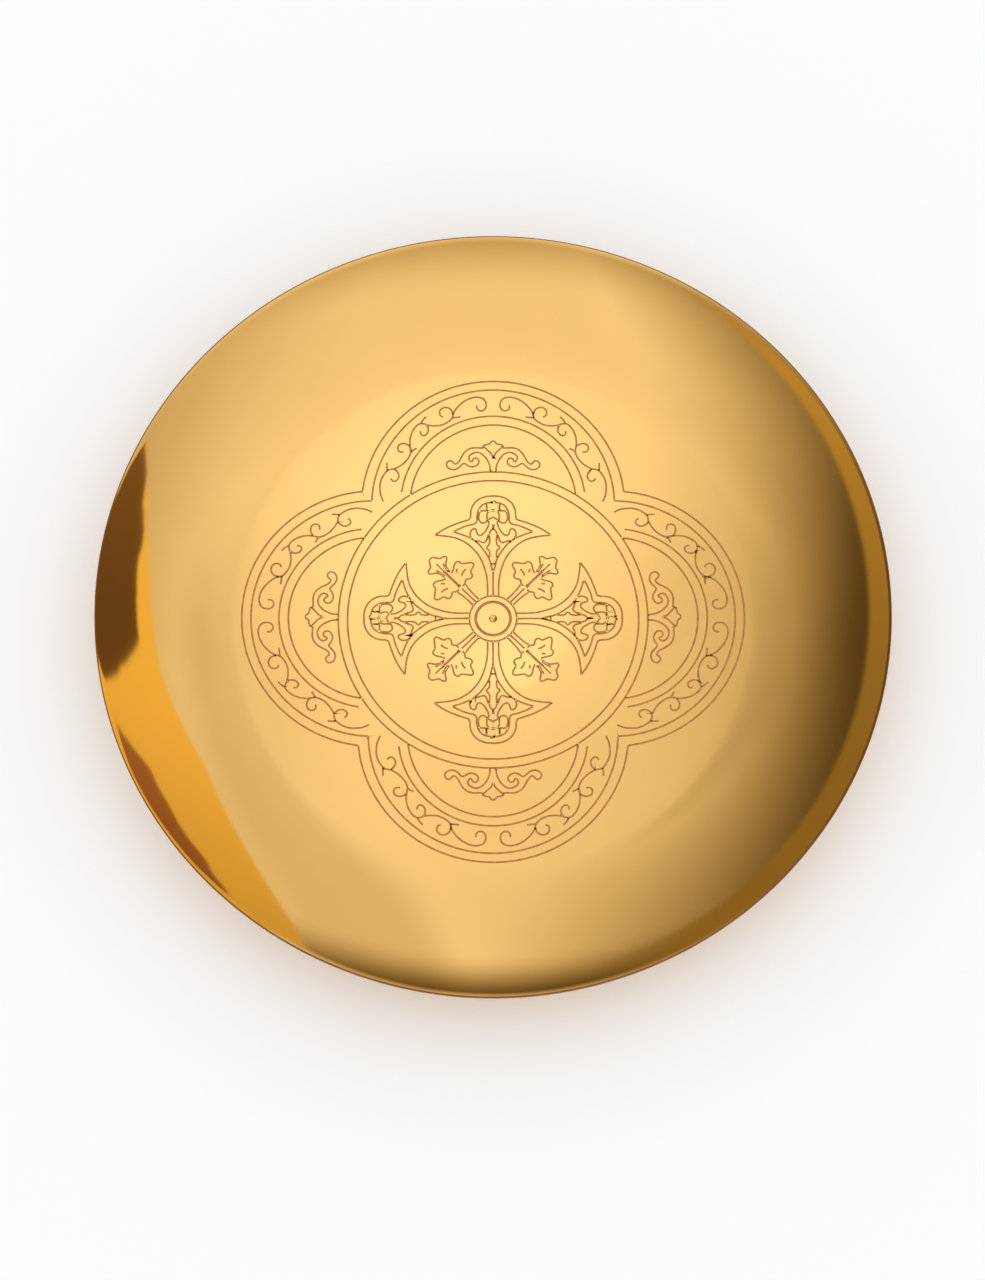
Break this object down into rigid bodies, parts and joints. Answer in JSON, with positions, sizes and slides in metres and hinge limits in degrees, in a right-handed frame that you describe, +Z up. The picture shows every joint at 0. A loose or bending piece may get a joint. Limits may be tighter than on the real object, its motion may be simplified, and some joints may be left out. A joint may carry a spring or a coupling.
{
  "type": "paten dish",
  "caption": "Shallow round gilded bowl-shaped dish with a plain rim, engraved inside with lobes, a cross and scrolls; it holds the bread in a church service.",
  "frame": {"origin": "on the table under the middle of the dish, in the plane of the flat seat that it stands on", "axes": "+Z up along the dish's axis; +X and +Y point along two arms of the engraved cross, and -Y is the side nearest the viewer"},
  "size_m": [0.15, 0.15, 0.0135],
  "materials": {
    "gold_plate": "mirror-polished gold plating on brass sheet, with darker engraved lines"
  },
  "bodies": {
    "root": {"paten_dish": "gold_plate"}
  },
  "joints": []
}
